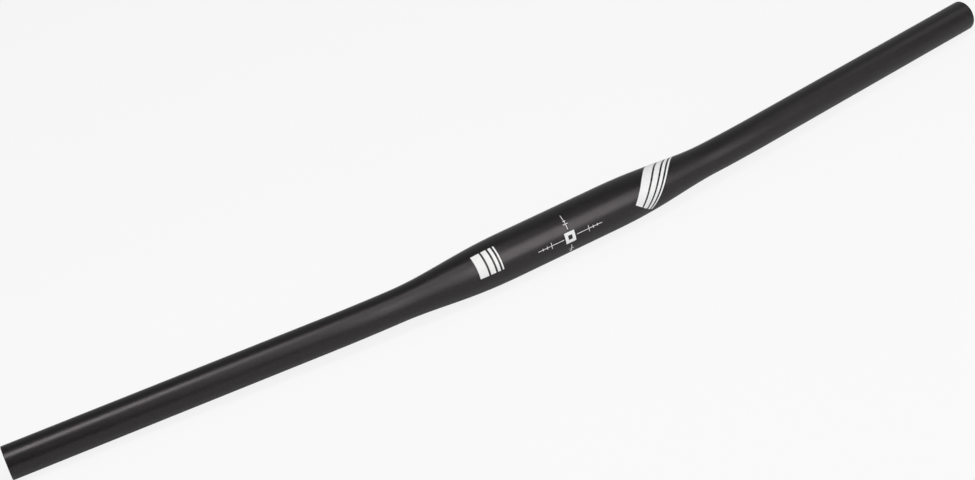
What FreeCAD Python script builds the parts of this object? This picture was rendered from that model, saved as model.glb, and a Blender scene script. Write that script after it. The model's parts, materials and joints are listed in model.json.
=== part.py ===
"""Flat handlebar for a mountain bike: one butted aluminium tube, swaged from clamp to grips and bent back.

The origin is at the middle of the clamp, on its axis. +X runs along that axis, +Y is the side that the grips
sweep back to, and +Z is up. The bar lies as it comes to rest: it is rolled about X until the clamp
and both tips touch one flat surface.
"""

import FreeCAD
import Part
import Sketcher
import os

# every size of the bar in millimetres, apart from the sweep in degrees and the ease, which is a bare number
SIZES = (
    ("bar_width", 760.0, "across the two tips, centre to centre"),
    ("clamp_diameter", 31.8, "outside, where the stem holds the bar"),
    ("clamp_length", 72.0, "of the plain cylinder that the stem holds"),
    ("clamp_wall", 2.4, "wall inside the stem, the thick butt"),
    ("grip_diameter", 22.2, "outside, from the bends to the tips"),
    ("grip_wall", 1.8, "wall from the bends to the tips, the thin butt"),
    ("taper_length", 88.0, "along the tube, from the clamp's cylinder to the grip diameter"),
    ("taper_ease", 1.2, "1 falls evenly, and more falls later along the taper"),
    ("bend_start", 66.0, "from the middle of the bar to the start of the bend"),
    ("bend_radius", 750.0, "of the tube's axis"),
    ("sweep_angle", 8.0, "of each grip, back from the clamp's axis"),
    ("end_chamfer", 0.4, "broken edge of the cut tips, outside and inside"),
)

# the taper is lofted through this many rings, close enough that it leaves the clamp in line with its cylinder,
# to about 0.01 mm
RINGS = 14

# first guess for a drawn length, until its named size sets it
ROUGH = 10.0

# runs along the tube's axis, from the middle of the bar
TAPER_START = "(Sizes.clamp_length / 2)"
TAPER_END = f"({TAPER_START} + Sizes.taper_length)"
BEND_END = "(Sizes.bend_start + Sizes.bend_radius * Sizes.sweep_angle * pi / 180)"
GRIP_START = f"max({TAPER_END}; {BEND_END})"

CLAMP_OUTER = "Sizes.clamp_diameter / 2"
CLAMP_INNER = "(Sizes.clamp_diameter / 2 - Sizes.clamp_wall)"
GRIP_OUTER = "Sizes.grip_diameter / 2"
GRIP_INNER = "(Sizes.grip_diameter / 2 - Sizes.grip_wall)"


def make_sheet(doc):
    """Puts each driving size in a cell with an alias, and its meaning beside it."""
    sheet = doc.addObject("Spreadsheet::Sheet", "Sizes")
    for row, (alias, value, meaning) in enumerate(SIZES, start=1):
        sheet.set(f"A{row}", alias)
        sheet.set(f"B{row}", str(value))
        sheet.setAlias(f"B{row}", alias)
        sheet.set(f"C{row}", meaning)
    doc.recompute()
    return sheet


def origin_feature(body, role):
    """Returns the plane or axis of the body's own origin that has this role."""
    for feature in body.Origin.OriginFeatures:
        if feature.Role == role:
            return feature
    raise ValueError(f"no origin feature {role}")


def bind(thing, path, expression):
    """Ties a property of an object to the sheet."""
    thing.setExpression(path, expression)


def new_sketch(body, name, role):
    """Adds a sketch on one of the body's origin planes."""
    sketch = body.newObject("Sketcher::SketchObject", name)
    sketch.AttachmentSupport = [(origin_feature(body, role), "")]
    sketch.MapMode = "FlatFace"
    return sketch


def put_on_axis(sketch, run, across):
    """Places a sketch on the tube's axis, at a run along it from the middle of the bar.

    Turn is how far the bend has swept there, Past the run beyond the bend, and Along and Back the place.
    With across, the sketch stands square to the axis. Without, it lies in the plane of the bend,
    with its first axis along the tube.
    """
    for name in ("Run", "Turn", "Past", "Along", "Back"):
        sketch.addProperty("App::PropertyFloat", name, "Station")
    bind(sketch, "Run", run)
    bind(sketch, "Turn", "min(max(Run - Sizes.bend_start; 0) / Sizes.bend_radius * 180 / pi; Sizes.sweep_angle)")
    bind(sketch, "Past", f"max(Run - {BEND_END}; 0)")
    bind(
        sketch,
        "Along",
        "min(Run; Sizes.bend_start) + Sizes.bend_radius * sin(Turn * 1 deg)"
        " + Past * cos(Sizes.sweep_angle * 1 deg)",
    )
    bind(
        sketch,
        "Back",
        "Sizes.bend_radius * (1 - cos(Turn * 1 deg)) + Past * sin(Sizes.sweep_angle * 1 deg)",
    )
    pivot = FreeCAD.Vector(0, 1, 0) if across else FreeCAD.Vector(0, 0, 1)
    sketch.AttachmentOffset = FreeCAD.Placement(FreeCAD.Vector(), FreeCAD.Rotation(pivot, 1))
    bind(sketch, "AttachmentOffset.Base.x", "Back" if across else "Along")
    bind(sketch, "AttachmentOffset.Base.z" if across else "AttachmentOffset.Base.y", "Along" if across else "Back")
    bind(sketch, "AttachmentOffset.Rotation.Angle", "Turn")


def add_circle(sketch, name, radius):
    """Draws a circle on the sketch's origin with its radius tied to an expression."""
    circle = sketch.addGeometry(Part.Circle(FreeCAD.Vector(), FreeCAD.Vector(0, 0, 1), ROUGH), False)
    sketch.addConstraint(Sketcher.Constraint("Coincident", circle, 3, -1, 1))
    size = sketch.addConstraint(Sketcher.Constraint("Radius", circle, ROUGH))
    sketch.renameConstraint(size, name)
    bind(sketch, f"Constraints.{name}", radius)


def add_polygon(sketch, corners):
    """Draws a closed chain of lines and returns the lines' numbers."""
    lines = []
    for start, end in zip(corners, corners[1:] + corners[:1]):
        lines.append(sketch.addGeometry(Part.LineSegment(FreeCAD.Vector(*start), FreeCAD.Vector(*end)), False))
    for line, following in zip(lines, lines[1:] + lines[:1]):
        sketch.addConstraint(Sketcher.Constraint("Coincident", line, 2, following, 1))
    return lines


def add_distance(sketch, name, kind, points, expression):
    """Adds a named distance between two points of the sketch, tied to an expression."""
    size = sketch.addConstraint(Sketcher.Constraint(kind, *points[0], *points[1], ROUGH))
    sketch.renameConstraint(size, name)
    bind(sketch, f"Constraints.{name}", expression)


def taper_ring(body, name, number, clamp_radius, grip_radius):
    """Draws one ring of the taper, square to the axis, on its way from the clamp's radius to the grip's."""
    sketch = new_sketch(body, name, "YZ_Plane")
    put_on_axis(sketch, f"{TAPER_START} + {number} / {RINGS - 1} * Sizes.taper_length", True)
    share = f"(1 - cos(180 deg * ({number} / {RINGS - 1}) ^ Sizes.taper_ease)) / 2"
    add_circle(sketch, "ring_radius", f"{clamp_radius} + ({grip_radius} - {clamp_radius}) * {share}")
    return sketch


def taper(body, kind, name, clamp_radius, grip_radius):
    """Lofts one wall of the taper through its rings, which already follow the bend, as an added or a cut form."""
    rings = [taper_ring(body, f"{name}Ring{number}", number, clamp_radius, grip_radius) for number in range(RINGS)]
    loft = body.newObject(kind, name)
    loft.Profile = rings[0]
    loft.Sections = rings[1:]
    return loft


def clamp_tube(body):
    """Pads the thick-walled cylinder that the stem holds, evenly to both sides of the middle."""
    sketch = new_sketch(body, "ClampSection", "YZ_Plane")
    add_circle(sketch, "clamp_outer", CLAMP_OUTER)
    add_circle(sketch, "clamp_inner", CLAMP_INNER)
    pad = body.newObject("PartDesign::Pad", "ClampTube")
    pad.Profile = sketch
    pad.SideType = "Symmetric"
    bind(pad, "Length", "Sizes.clamp_length")
    return pad


def bend_tube(body):
    """Turns the rest of the bend, from the end of the taper to the grip, about the centre of the bend.

    Where the taper runs on past the bend, there is no rest to turn, and the feature is left out.
    """
    sketch = new_sketch(body, "BendSection", "YZ_Plane")
    put_on_axis(sketch, TAPER_END, True)
    add_circle(sketch, "bend_outer", GRIP_OUTER)
    add_circle(sketch, "bend_inner", GRIP_INNER)
    centre = Part.LineSegment(FreeCAD.Vector(ROUGH, 0, 0), FreeCAD.Vector(ROUGH, ROUGH, 0))
    line = sketch.addGeometry(centre, True)
    sketch.addConstraint(Sketcher.Constraint("Vertical", line))
    sketch.addConstraint(Sketcher.Constraint("PointOnObject", line, 1, -1))
    sketch.addConstraint(Sketcher.Constraint("Distance", line, ROUGH))
    add_distance(sketch, "bend_centre", "DistanceX", ((-1, 1), (line, 1)), "Sizes.bend_radius")
    turned = body.newObject("PartDesign::Revolution", "BendTube")
    turned.Profile = sketch
    turned.ReferenceAxis = (sketch, ["Axis0"])
    bind(turned, "Angle", "Sizes.sweep_angle - BendSection.Turn")
    bind(turned, "Suppressed", "Sizes.sweep_angle > BendSection.Turn ? 0 : 1")
    return turned


def grip_tube(body):
    """Turns the straight, thin-walled grip about its own axis, with the edges of its cut end broken."""
    sketch = new_sketch(body, "GripProfile", "XY_Plane")
    put_on_axis(sketch, GRIP_START, False)
    length = "(Sizes.bar_width / 2 - Along) / cos(Sizes.sweep_angle * 1 deg)"
    # a rough half section, in whole parts of the first guess
    corners = [(0, 1), (4, 1), (5, 2), (5, 3), (4, 4), (0, 4)]
    corners = [(along * ROUGH, out * ROUGH) for along, out in corners]
    bore, inner_break, end, outer_break, outside, start = add_polygon(sketch, corners)
    for line in (bore, outside):
        sketch.addConstraint(Sketcher.Constraint("Horizontal", line))
    for line in (end, start):
        sketch.addConstraint(Sketcher.Constraint("Vertical", line))
    sketch.addConstraint(Sketcher.Constraint("PointOnObject", bore, 1, -2))
    origin = (-1, 1)
    add_distance(sketch, "bore_radius", "DistanceY", (origin, (bore, 1)), GRIP_INNER)
    add_distance(sketch, "outside_radius", "DistanceY", (origin, (outside, 2)), GRIP_OUTER)
    add_distance(sketch, "grip_length", "DistanceX", (origin, (end, 1)), length)
    for name, line, first in (("inner", inner_break, 1), ("outer", outer_break, 2)):
        low, high = (line, 1), (line, 2)
        left, right = (low, high) if first == 1 else (high, low)
        add_distance(sketch, f"{name}_break_along", "DistanceX", (left, right), "Sizes.end_chamfer")
        add_distance(sketch, f"{name}_break_across", "DistanceY", (low, high), "Sizes.end_chamfer")
    turned = body.newObject("PartDesign::Revolution", "GripTube")
    turned.Profile = sketch
    turned.ReferenceAxis = (sketch, ["H_Axis"])
    turned.Angle = 360
    return turned


def make_handlebar(doc):
    """Builds the whole bar as one body: the clamp, then the taper, bend and grip of one side, then the other."""
    body = doc.addObject("PartDesign::Body", "Handlebar")
    body.Label = "handlebar"
    clamp_tube(body)
    half = [
        taper(body, "PartDesign::AdditiveLoft", "TaperOuter", CLAMP_OUTER, GRIP_OUTER),
        taper(body, "PartDesign::SubtractiveLoft", "TaperInner", CLAMP_INNER, GRIP_INNER),
        bend_tube(body),
        grip_tube(body),
    ]
    doc.recompute()
    mirrored = body.newObject("PartDesign::Mirrored", "OtherSide")
    mirrored.Originals = half
    mirrored.MirrorPlane = (origin_feature(body, "YZ_Plane"), [""])
    body.Tip = mirrored
    # at rest the tips hang down by the difference of the two radii, over the distance that they are swept back
    setback = (
        "(Sizes.bend_radius * (1 - cos(Sizes.sweep_angle * 1 deg)) + (Sizes.bar_width / 2 - Sizes.bend_start"
        " - Sizes.bend_radius * sin(Sizes.sweep_angle * 1 deg)) * tan(Sizes.sweep_angle * 1 deg))"
    )
    body.Placement = FreeCAD.Placement(FreeCAD.Vector(), FreeCAD.Rotation(FreeCAD.Vector(-1, 0, 0), 1))
    bind(body, "Placement.Rotation.Angle", f"asin(({CLAMP_OUTER} - {GRIP_OUTER}) / {setback})")
    return body


def check(doc, bodies):
    """Stops the build if any object failed or any piece isn't one sound solid."""
    for thing in doc.Objects:
        if "Invalid" in thing.State or "Error" in thing.State:
            raise RuntimeError(f"{thing.Name} failed: {thing.State}")
    for body in bodies:
        if body.Shape.isNull() or not body.Shape.isValid() or len(body.Shape.Solids) != 1:
            raise RuntimeError(f"{body.Label} is not one valid solid")


def main():
    doc = FreeCAD.newDocument("handlebar")
    make_sheet(doc)
    bodies = [make_handlebar(doc)]
    doc.recompute()
    check(doc, bodies)
    os.makedirs("parts", exist_ok=True)
    for body in bodies:
        body.Shape.exportStep(os.path.join("parts", f"{body.Label}.step"))
        box = body.Shape.BoundBox
        print(body.Label, "volume", round(body.Shape.Volume), "box", box.XLength, box.YLength, box.ZLength, box.ZMin)


main()
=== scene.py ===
"""Looks of the flat handlebar: a satin black butted tube with white print on its middle, on a pale floor.

Places and lengths are in metres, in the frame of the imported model: the origin at the middle of the clamp,
+X along the clamp, +Y the side that the grips sweep back to, +Z up.
"""

import json
import math

import bpy
import numpy as np
from mathutils import Matrix, Vector


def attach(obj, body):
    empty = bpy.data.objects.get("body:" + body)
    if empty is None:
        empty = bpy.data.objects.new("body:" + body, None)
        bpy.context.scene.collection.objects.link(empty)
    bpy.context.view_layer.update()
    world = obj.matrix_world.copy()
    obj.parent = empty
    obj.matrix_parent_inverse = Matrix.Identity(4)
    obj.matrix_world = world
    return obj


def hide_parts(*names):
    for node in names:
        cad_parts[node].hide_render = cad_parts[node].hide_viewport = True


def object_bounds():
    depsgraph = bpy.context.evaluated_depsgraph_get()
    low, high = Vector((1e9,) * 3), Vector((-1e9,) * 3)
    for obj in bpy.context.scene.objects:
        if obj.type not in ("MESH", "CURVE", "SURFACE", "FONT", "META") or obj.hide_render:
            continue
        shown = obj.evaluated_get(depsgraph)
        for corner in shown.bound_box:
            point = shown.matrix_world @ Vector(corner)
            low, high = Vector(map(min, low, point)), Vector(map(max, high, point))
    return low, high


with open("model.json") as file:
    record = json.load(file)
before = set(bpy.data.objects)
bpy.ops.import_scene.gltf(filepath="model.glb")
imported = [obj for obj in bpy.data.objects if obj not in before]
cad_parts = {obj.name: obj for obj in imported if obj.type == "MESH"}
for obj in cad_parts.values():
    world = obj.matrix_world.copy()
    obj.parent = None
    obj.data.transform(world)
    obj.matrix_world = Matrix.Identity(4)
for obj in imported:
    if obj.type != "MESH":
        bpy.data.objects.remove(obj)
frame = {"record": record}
cad_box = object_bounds()

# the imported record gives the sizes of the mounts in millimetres
MM_PER_METRE = 1000

# the tube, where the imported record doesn't say
TAPER_LENGTH = 0.088
TAPER_EASE = 1.2
CLAMP_WALL = 0.0024
END_CHAMFER = 0.0004

# the mesh of the tube: faces round it, and rings along its outside and its bore
FACES_ROUND = 96
OUTER_RINGS = 301
BORE_RINGS = 121

# the finishes of the tube, in the order of its mesh's materials
OUTSIDE, CUT_END, BORE = range(3)

# faces that meet at a larger angle than this have a crisp edge between them
CRISP_ANGLE = math.radians(30)

# the print stands this far out of the surface and reaches this far into it, in cells of at most this size
PRINT_LIFT = 0.00004
PRINT_SINK = 0.00006
PRINT_CELL = 0.0012

# the crosshair that centres the bar in the stem: where the arms along the bar and round it start and end,
# the place and the length of their ticks, and the square in the middle with its hole
LINE_WIDTH = 0.00038
ALONG_LINE = (0.0051, 0.0249)
ROUND_LINE = (0.0058, 0.0163)
ALONG_TICKS = ((0.0145, 0.0045), (0.0179, 0.0024), (0.0212, 0.0018))
ROUND_TICKS = ((0.0094, 0.0036), (0.0115, 0.0024))
CENTRE_SQUARE = 0.0077
CENTRE_HOLE = 0.0031

# the block of straight bars on the left, from its lower outer corner inward
BLOCK_START = -0.0684
BLOCK_FOOT = -0.0003
BLOCK_HEIGHT = 0.0174
BLOCK_BARS = (0.0063, 0.0037, 0.0021, 0.0011)
BLOCK_GAP = 0.0014

# the slanted stripes that climb over the top on the right, from the lower corner of the first
STRIPE_START = 0.0520
STRIPE_FOOT = 0.0004
STRIPE_SLANT = math.radians(50)
STRIPE_LENGTH = 0.050
STRIPES = (0.0060, 0.0036, 0.0021, 0.0012)
STRIPE_GAP = 0.0013

# most of a noise lies between these two values
NOISE_LOW = 0.3
NOISE_HIGH = 0.7

# the floor: how far it reaches, its finish, and the share of it that is plain white to each kind of ray
FLOOR_HALF = 40.0
FLOOR_COLOUR = (0.80, 0.80, 0.80, 1)
FLOOR_ROUGHNESS = 0.9
FLOOR_WHITE = {"Is Camera Ray": 0.85, "Is Glossy Ray": 0.1, "Is Transmission Ray": 0.1}

# softboxes: place, the way their width runs, width, height and brightness
SOFTBOXES = {
    "left": ((-0.45, -0.17, 1.17), (1, 0, 0), 0.50, 0.38, 7.2),
    "overhead": ((0.05, -0.40, 1.12), (1, 0, 0), 0.60, 0.85, 1.5),
    "front": ((0.97, -2.40, 1.52), (0.93, 0.37, 0), 1.10, 2.36, 2.7),
    "wide": ((1.09, -2.44, 1.36), (0.91, 0.41, 0), 2.84, 2.55, 1.1),
    "right": ((1.20, -0.15, 0.85), (0, 1, 0), 0.60, 0.60, 0.6),
    "fill": ((-1.50, 0.60, 1.40), (0.37, 0.93, 0), 1.40, 1.40, 0.5),
}

# brightness of the room, in front of the bar and behind it, and the way to its brightest side
ROOM_FRONT = 0.08
ROOM_BACK = 0.42
ROOM_BRIGHT_SIDE = (0.8, 0.6, 0.0)

# the camera of the photograph, aimed at a point near the middle of the bar
# only its lens and its sensor are in millimetres
CAMERA_TARGET = Vector((-0.03938, 0.02681, 0.0))
CAMERA_DISTANCE = 1.3398
CAMERA_AZIMUTH = math.radians(-23.991)
CAMERA_ELEVATION = math.radians(30.427)
CAMERA_ROLL = math.radians(12.431)
CAMERA_LENS = 74.655
CAMERA_SENSOR = 36.0


def metres(mount, name):
    """A size of a mount in metres."""
    return mount["dims"][name] / MM_PER_METRE


class Tube:
    """The line and the radii of the bar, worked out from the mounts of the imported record."""

    def __init__(self):
        found = {mount["name"]: mount for mount in frame["record"]["mounts"]}
        clamp, grip, bore = found["stem_clamp"], found["grip_right"], found["end_bore_right"]
        along = np.array(clamp["axis"])
        axis = np.array(grip["axis"])
        grip_length = metres(grip, "length_mm")
        grip_start = np.array(grip["pos_m"]) - axis * grip_length / 2
        back = axis - axis.dot(along) * along
        self.along = along
        self.back = back / np.linalg.norm(back)
        self.up = np.cross(self.along, self.back)
        self.sweep = math.acos(axis.dot(along))
        # the bend is the arc that touches the clamp's axis and the grip's, and ends where the grip starts
        tangent = grip_start.dot(self.back) / math.sin(self.sweep)
        corner = grip_start.dot(along) - tangent * math.cos(self.sweep)
        self.bend_start = corner - tangent
        self.bend_radius = tangent / math.tan(self.sweep / 2)
        self.bend_end = self.bend_start + self.bend_radius * self.sweep
        self.end = self.bend_end + grip_length
        self.clamp_half = metres(clamp, "length_mm") / 2
        self.clamp_radius = metres(clamp, "r_mm")
        self.grip_radius = metres(grip, "r_mm")
        self.bore_radius = metres(bore, "r_mm")

    def share(self, run):
        """How much of the taper is done at a run along the tube: 0 in the clamp, 1 in the grip."""
        part = np.clip((np.abs(run) - self.clamp_half) / TAPER_LENGTH, 0, 1)
        return (1 - np.cos(np.pi * part**TAPER_EASE)) / 2

    def outside(self, run):
        """Radius of the outside at a run along the tube."""
        return self.clamp_radius + (self.grip_radius - self.clamp_radius) * self.share(run)

    def inside(self, run):
        """Radius of the bore at a run along the tube."""
        clamp_bore = self.clamp_radius - CLAMP_WALL
        return clamp_bore + (self.bore_radius - clamp_bore) * self.share(run)

    def points(self, run, angle, radius):
        """Points round the tube's line.

        An angle is 0 at the front, in the plane of the sweep, and grows upward.
        """
        side = np.sign(run)
        far = np.abs(run)
        turn = np.clip((far - self.bend_start) / self.bend_radius, 0, self.sweep)
        past = np.maximum(far - self.bend_end, 0)
        across = np.minimum(far, self.bend_start) + self.bend_radius * np.sin(turn) + past * np.cos(turn)
        behind = self.bend_radius * (1 - np.cos(turn)) + past * np.sin(turn)
        # out from the line, in the plane of the sweep, toward the front
        flat = radius * np.cos(angle)
        across = side * (across + flat * np.sin(turn))
        behind = behind - flat * np.cos(turn)
        above = radius * np.sin(angle)
        return (
            across[..., None] * self.along
            + behind[..., None] * self.back
            + above[..., None] * self.up
        )


def new_object(name, points, faces, materials, which=None):
    """Links a mesh object with smooth faces and crisp edges."""
    mesh = bpy.data.meshes.new(name)
    mesh.from_pydata([tuple(point) for point in points], [], faces)
    for material in materials:
        mesh.materials.append(material)
    if which is not None:
        mesh.polygons.foreach_set("material_index", which)
    mesh.polygons.foreach_set("use_smooth", [True] * len(mesh.polygons))
    mesh.set_sharp_from_angle(angle=CRISP_ANGLE)
    mesh.validate()
    made = bpy.data.objects.new(name, mesh)
    bpy.context.scene.collection.objects.link(made)
    return made


def handlebar(tube, finishes):
    """The whole tube as one closed mesh: rings along the outside, over a cut end, back along the bore."""
    outer = np.linspace(-tube.end, tube.end, OUTER_RINGS)
    inner = np.linspace(tube.end, -tube.end, BORE_RINGS)
    tip = tube.end + END_CHAMFER
    # the flat of a cut end lies between its two chamfers
    flat = [tube.grip_radius - END_CHAMFER, tube.bore_radius + END_CHAMFER]
    runs = np.concatenate([outer, [tip] * len(flat), inner, [-tip] * len(flat)])
    radii = np.concatenate([tube.outside(outer), flat, tube.inside(inner), flat[::-1]])
    angles = np.arange(FACES_ROUND) * math.tau / FACES_ROUND
    run_grid, angle_grid = np.meshgrid(runs, angles, indexing="ij")
    points = tube.points(run_grid, angle_grid, radii[:, None]).reshape(-1, 3)

    faces, which = [], []
    rings = len(runs)
    bore_first = OUTER_RINGS + len(flat)
    bore_last = bore_first + BORE_RINGS - 1
    for ring in range(rings):
        following = (ring + 1) % rings
        if ring < OUTER_RINGS - 1:
            kind = OUTSIDE
        elif bore_first <= ring < bore_last:
            kind = BORE
        else:
            kind = CUT_END
        for step in range(FACES_ROUND):
            after = (step + 1) % FACES_ROUND
            corners = ((ring, step), (following, step), (following, after), (ring, after))
            faces.append([row * FACES_ROUND + place for row, place in corners])
            which.append(kind)
    return new_object("handlebar_tube", points, faces, finishes, which)


def cuts(edges):
    """Places that divide the print into cells: each edge, and more between edges that lie far apart."""
    edges = sorted(set(edges))
    places = []
    for low, high in zip(edges, edges[1:]):
        count = max(1, math.ceil((high - low) / PRINT_CELL))
        places.extend(np.linspace(low, high, count + 1)[:-1])
    return np.array(places + [edges[-1]])


def printed(name, tube, ink, rectangles, start=0.0, foot=0.0, slant=0.0):
    """White print as one thin closed skin over the union of some rectangles, wrapped round the tube.

    A rectangle is (low u, high u, low v, high v). The u axis leaves the bar's line at the slant, from the
    point that lies at the start along the bar and at the foot round it.
    """
    us = cuts([edge for box in rectangles for edge in box[:2]])
    vs = cuts([edge for box in rectangles for edge in box[2:]])
    mid_u = (us[:-1] + us[1:])[:, None] / 2
    mid_v = (vs[:-1] + vs[1:])[None, :] / 2
    filled = np.zeros((len(us) - 1, len(vs) - 1), bool)
    for low_u, high_u, low_v, high_v in rectangles:
        filled |= (low_u < mid_u) & (mid_u < high_u) & (low_v < mid_v) & (mid_v < high_v)

    u, v = np.meshgrid(us, vs, indexing="ij")
    run = start + u * math.cos(slant) - v * math.sin(slant)
    angle = (foot + u * math.sin(slant) + v * math.cos(slant)) / tube.clamp_radius
    surface = tube.outside(run)
    lower = tube.points(run, angle, surface - PRINT_SINK)
    upper = tube.points(run, angle, surface + PRINT_LIFT)
    layers = np.stack([lower, upper]).reshape(-1, 3)

    def corner(layer, i, j):
        """Number of a point in the lower layer, 0, or the upper one, 1."""
        return layer * len(us) * len(vs) + i * len(vs) + j

    def empty(i, j):
        """Whether a cell carries no print."""
        inside = 0 <= i < filled.shape[0] and 0 <= j < filled.shape[1]
        return not (inside and filled[i, j])

    faces = []
    for i, j in zip(*np.nonzero(filled)):
        ring = [(i, j), (i + 1, j), (i + 1, j + 1), (i, j + 1)]
        outward = [(i, j - 1), (i + 1, j), (i, j + 1), (i - 1, j)]
        faces.append([corner(1, *place) for place in ring])
        faces.append([corner(0, *place) for place in reversed(ring)])
        for first, second, beyond in zip(ring, ring[1:] + ring[:1], outward):
            if empty(*beyond):
                faces.append([corner(0, *first), corner(0, *second), corner(1, *second), corner(1, *first)])
    # points that no face uses are left out
    used = sorted({place for face in faces for place in face})
    number = {place: count for count, place in enumerate(used)}
    faces = [[number[place] for place in face] for face in faces]
    return new_object(name, layers[used], faces, [ink])


def crosshair_boxes():
    """The rectangles of the centring mark: four arms with ticks, round a square with an open middle."""
    half = LINE_WIDTH / 2
    hole, rim = CENTRE_HOLE / 2, CENTRE_SQUARE / 2
    boxes = []
    for sign in (-1, 1):
        low, high = sorted(sign * place for place in ALONG_LINE)
        boxes.append((low, high, -half, half))
        for place, length in ALONG_TICKS:
            boxes.append((sign * place - half, sign * place + half, -length / 2, length / 2))
        low, high = sorted(sign * place for place in ROUND_LINE)
        boxes.append((-half, half, low, high))
        for place, length in ROUND_TICKS:
            boxes.append((-length / 2, length / 2, sign * place - half, sign * place + half))
        low, high = sorted((sign * hole, sign * rim))
        boxes.append((low, high, -rim, rim))
        boxes.append((-rim, rim, low, high))
    return boxes


def row_of_bars(widths, gap, length, lengthwise):
    """Rectangles side by side with a gap between them, lying along u or standing along v."""
    boxes = []
    place = 0.0
    for width in widths:
        low, high = place, place + width
        boxes.append((0.0, length, -high, -low) if lengthwise else (low, high, 0.0, length))
        place = high + gap
    return boxes


def new_material(name):
    """A node material with its Principled shader."""
    material = bpy.data.materials.new(name)
    material.use_nodes = True
    return material, material.node_tree, material.node_tree.nodes["Principled BSDF"]


def noise(tree, per_metre, detail, stretch=None):
    """A noise in the object's own space, with about so many features in a metre, stretched if asked."""
    place = tree.nodes.new("ShaderNodeTexCoord").outputs["Object"]
    if stretch is not None:
        mapping = tree.nodes.new("ShaderNodeMapping")
        mapping.inputs["Scale"].default_value = stretch
        tree.links.new(place, mapping.inputs["Vector"])
        place = mapping.outputs["Vector"]
    made = tree.nodes.new("ShaderNodeTexNoise")
    made.inputs["Scale"].default_value = per_metre
    made.inputs["Detail"].default_value = detail
    tree.links.new(place, made.inputs["Vector"])
    return made.outputs["Fac"]


def spread(tree, value, low, high):
    """Maps the middle of a noise onto a range."""
    made = tree.nodes.new("ShaderNodeMapRange")
    made.inputs["From Min"].default_value = NOISE_LOW
    made.inputs["From Max"].default_value = NOISE_HIGH
    made.inputs["To Min"].default_value = low
    made.inputs["To Max"].default_value = high
    tree.links.new(value, made.inputs["Value"])
    return made.outputs["Result"]


def tint(tree, value, dark, light):
    """Mixes two colours by a noise."""
    made = tree.nodes.new("ShaderNodeMix")
    made.data_type = "RGBA"
    made.inputs["A"].default_value = (*dark, 1)
    made.inputs["B"].default_value = (*light, 1)
    tree.links.new(spread(tree, value, low=0, high=1), made.inputs["Factor"])
    return made.outputs["Result"]


def bump(tree, height, depth, below=None):
    """A bump of that depth in metres, over another one if given."""
    made = tree.nodes.new("ShaderNodeBump")
    made.inputs["Distance"].default_value = depth
    tree.links.new(height, made.inputs["Height"])
    if below is not None:
        tree.links.new(below, made.inputs["Normal"])
    return made.outputs["Normal"]


def dress(tree, shader, colour, roughness, normal):
    """Links what varies over a surface to its shader."""
    tree.links.new(colour, shader.inputs["Base Color"])
    tree.links.new(roughness, shader.inputs["Roughness"])
    tree.links.new(normal, shader.inputs["Normal"])


def black_anodised():
    """Satin black of the outside: blasted, so finely grained, and a little uneven from end to end."""
    material, tree, shader = new_material("black_anodised")
    shader.inputs["IOR"].default_value = 1.52
    shader.inputs["Specular Tint"].default_value = (1.0, 0.925, 0.955, 1)
    patches = noise(tree, per_metre=60, detail=3)
    dents = noise(tree, per_metre=700, detail=2)
    specks = noise(tree, per_metre=1500, detail=1)
    grain = noise(tree, per_metre=4000, detail=2)
    colour = tint(tree, specks, dark=(0.0008, 0.0008, 0.0007), light=(0.0127, 0.0122, 0.0121))
    roughness = spread(tree, patches, low=0.29, high=0.34)
    normal = bump(tree, grain, depth=0.00002, below=bump(tree, dents, depth=0.00001))
    dress(tree, shader, colour, roughness, normal)
    return material


def black_cut_end():
    """Black of the sawn end faces and their chamfers, a little paler than the blasted outside."""
    material, tree, shader = new_material("black_cut_end")
    grain = noise(tree, per_metre=1800, detail=2)
    colour = tint(tree, grain, dark=(0.010, 0.0098, 0.0098), light=(0.020, 0.0195, 0.019))
    roughness = spread(tree, grain, low=0.30, high=0.38)
    normal = bump(tree, grain, depth=0.00002)
    dress(tree, shader, colour, roughness, normal)
    return material


def black_bore():
    """Black of the bore: duller, with lines along the tube from the drawing."""
    material, tree, shader = new_material("black_bore")
    lines = noise(tree, per_metre=900, detail=3, stretch=(0.03, 1, 1))
    colour = tint(tree, lines, dark=(0.008, 0.008, 0.008), light=(0.018, 0.0175, 0.017))
    roughness = spread(tree, lines, low=0.45, high=0.6)
    normal = bump(tree, lines, depth=0.00003)
    dress(tree, shader, colour, roughness, normal)
    return material


def white_ink():
    """White screen print: a thin matt film, a little uneven where it lies on the blasted grain."""
    material, tree, shader = new_material("white_ink")
    film = noise(tree, per_metre=700, detail=2)
    grain = noise(tree, per_metre=2600, detail=2)
    colour = tint(tree, film, dark=(0.89, 0.89, 0.88), light=(0.95, 0.95, 0.95))
    roughness = spread(tree, film, low=0.42, high=0.55)
    normal = bump(tree, grain, depth=0.00001)
    dress(tree, shader, colour, roughness, normal)
    return material


def pale_floor():
    """Pale floor that takes the bar's shadow: mostly plain white to the camera, a little in reflections."""
    material, tree, shader = new_material("pale_floor")
    shader.inputs["Base Color"].default_value = FLOOR_COLOUR
    shader.inputs["Roughness"].default_value = FLOOR_ROUGHNESS
    light = tree.nodes.new("ShaderNodeEmission")
    path = tree.nodes.new("ShaderNodeLightPath")
    # the white share is the sum over the kinds of ray
    white = None
    for kind, share in FLOOR_WHITE.items():
        part = tree.nodes.new("ShaderNodeMath")
        part.operation = "MULTIPLY_ADD"
        part.inputs[1].default_value = share
        part.inputs[2].default_value = 0
        tree.links.new(path.outputs[kind], part.inputs[0])
        if white is not None:
            tree.links.new(white, part.inputs[2])
        white = part.outputs["Value"]
    mix = tree.nodes.new("ShaderNodeMixShader")
    tree.links.new(white, mix.inputs["Fac"])
    tree.links.new(shader.outputs["BSDF"], mix.inputs[1])
    tree.links.new(light.outputs["Emission"], mix.inputs[2])
    tree.links.new(mix.outputs["Shader"], tree.nodes["Material Output"].inputs["Surface"])
    return material


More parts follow.
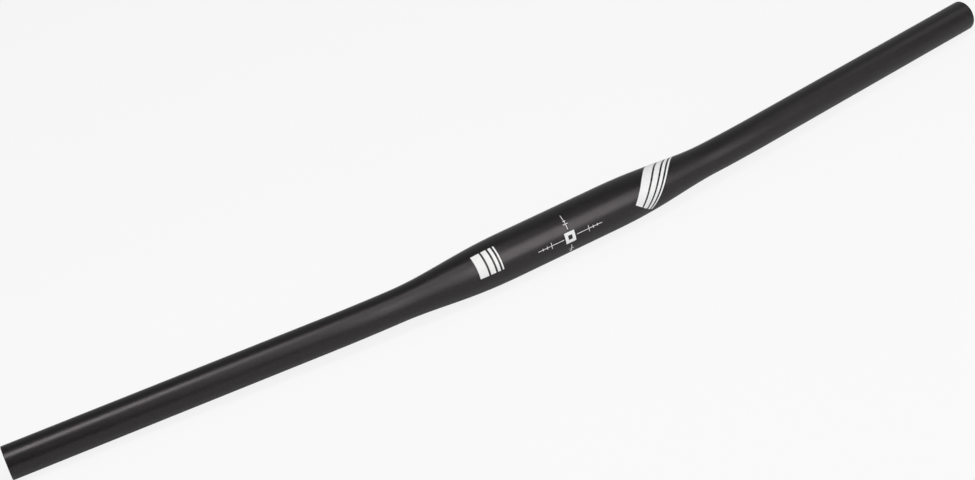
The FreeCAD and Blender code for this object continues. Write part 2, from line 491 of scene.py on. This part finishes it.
def floor(material):
    """A wide plain floor under the bar."""
    height = cad_box[0][2]
    signs = ((-1, -1), (1, -1), (1, 1), (-1, 1))
    corners = [(x * FLOOR_HALF, y * FLOOR_HALF, height) for x, y in signs]
    made = new_object("floor", corners, [(0, 1, 2, 3)], [material])


def softbox(name, place, widthwise, width, height, brightness):
    """An area lamp that faces the middle of the bar. Its face is equally bright whatever its size."""
    lamp = bpy.data.lights.new(name, "AREA")
    lamp.shape = "RECTANGLE"
    lamp.size = width
    lamp.size_y = height
    lamp.energy = brightness * math.pi * width * height
    away = Vector(place).normalized()
    upward = away.cross(Vector(widthwise)).normalized()
    turn = Matrix((upward.cross(away), upward, away)).transposed().to_4x4()
    made = bpy.data.objects.new(name, lamp)
    made.matrix_world = Matrix.Translation(Vector(place)) @ turn
    bpy.context.scene.collection.objects.link(made)


def room():
    """A dim room, paler behind the bar than in front of it."""
    world = bpy.data.worlds.new("room")
    bpy.context.scene.world = world
    world.use_nodes = True
    tree = world.node_tree
    direction = tree.nodes.new("ShaderNodeTexCoord")
    toward = tree.nodes.new("ShaderNodeVectorMath")
    toward.operation = "DOT_PRODUCT"
    toward.inputs[1].default_value = ROOM_BRIGHT_SIDE
    fade = tree.nodes.new("ShaderNodeMapRange")
    fade.interpolation_type = "SMOOTHSTEP"
    fade.inputs["To Min"].default_value = ROOM_FRONT
    fade.inputs["To Max"].default_value = ROOM_BACK
    tree.links.new(direction.outputs["Generated"], toward.inputs[0])
    tree.links.new(toward.outputs["Value"], fade.inputs["Value"])
    tree.links.new(fade.outputs["Result"], tree.nodes["Background"].inputs["Strength"])
    tree.nodes["Background"].inputs["Color"].default_value = (1, 1, 1, 1)


def camera():
    """The camera at the photograph's angle, turned a little about its own line of sight."""
    data = bpy.data.cameras.new("camera")
    data.sensor_width = CAMERA_SENSOR
    data.lens = CAMERA_LENS
    back = Vector(
        (
            math.sin(CAMERA_AZIMUTH) * math.cos(CAMERA_ELEVATION),
            -math.cos(CAMERA_AZIMUTH) * math.cos(CAMERA_ELEVATION),
            math.sin(CAMERA_ELEVATION),
        )
    )
    level = Vector((0, 0, 1)).cross(back).normalized()
    upright = back.cross(level)
    right = level * math.cos(CAMERA_ROLL) - upright * math.sin(CAMERA_ROLL)
    up = back.cross(right)
    turn = Matrix((right, up, back)).transposed().to_4x4()
    made = bpy.data.objects.new("camera", data)
    made.matrix_world = Matrix.Translation(CAMERA_TARGET + back * CAMERA_DISTANCE) @ turn
    bpy.context.scene.collection.objects.link(made)
    bpy.context.scene.camera = made


def main():
    """Builds the bar with its print, the studio round it and the camera."""
    tube = Tube()
    ink = white_ink()
    bar = handlebar(tube, [black_anodised(), black_cut_end(), black_bore()])
    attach(bar, "root")
    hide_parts("handlebar")
    bars = row_of_bars(BLOCK_BARS, BLOCK_GAP, BLOCK_HEIGHT, lengthwise=False)
    stripes = row_of_bars(STRIPES, STRIPE_GAP, STRIPE_LENGTH, lengthwise=True)
    marks = [
        printed("print_crosshair", tube, ink, crosshair_boxes()),
        printed("print_bars", tube, ink, bars, BLOCK_START, BLOCK_FOOT),
        printed("print_stripes", tube, ink, stripes, STRIPE_START, STRIPE_FOOT, STRIPE_SLANT),
    ]
    for mark in marks:
        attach(mark, "root")
    floor(pale_floor())
    for name, settings in SOFTBOXES.items():
        softbox(name, *settings)
    room()
    camera()
    bpy.context.scene.view_settings.view_transform = "Standard"


main()
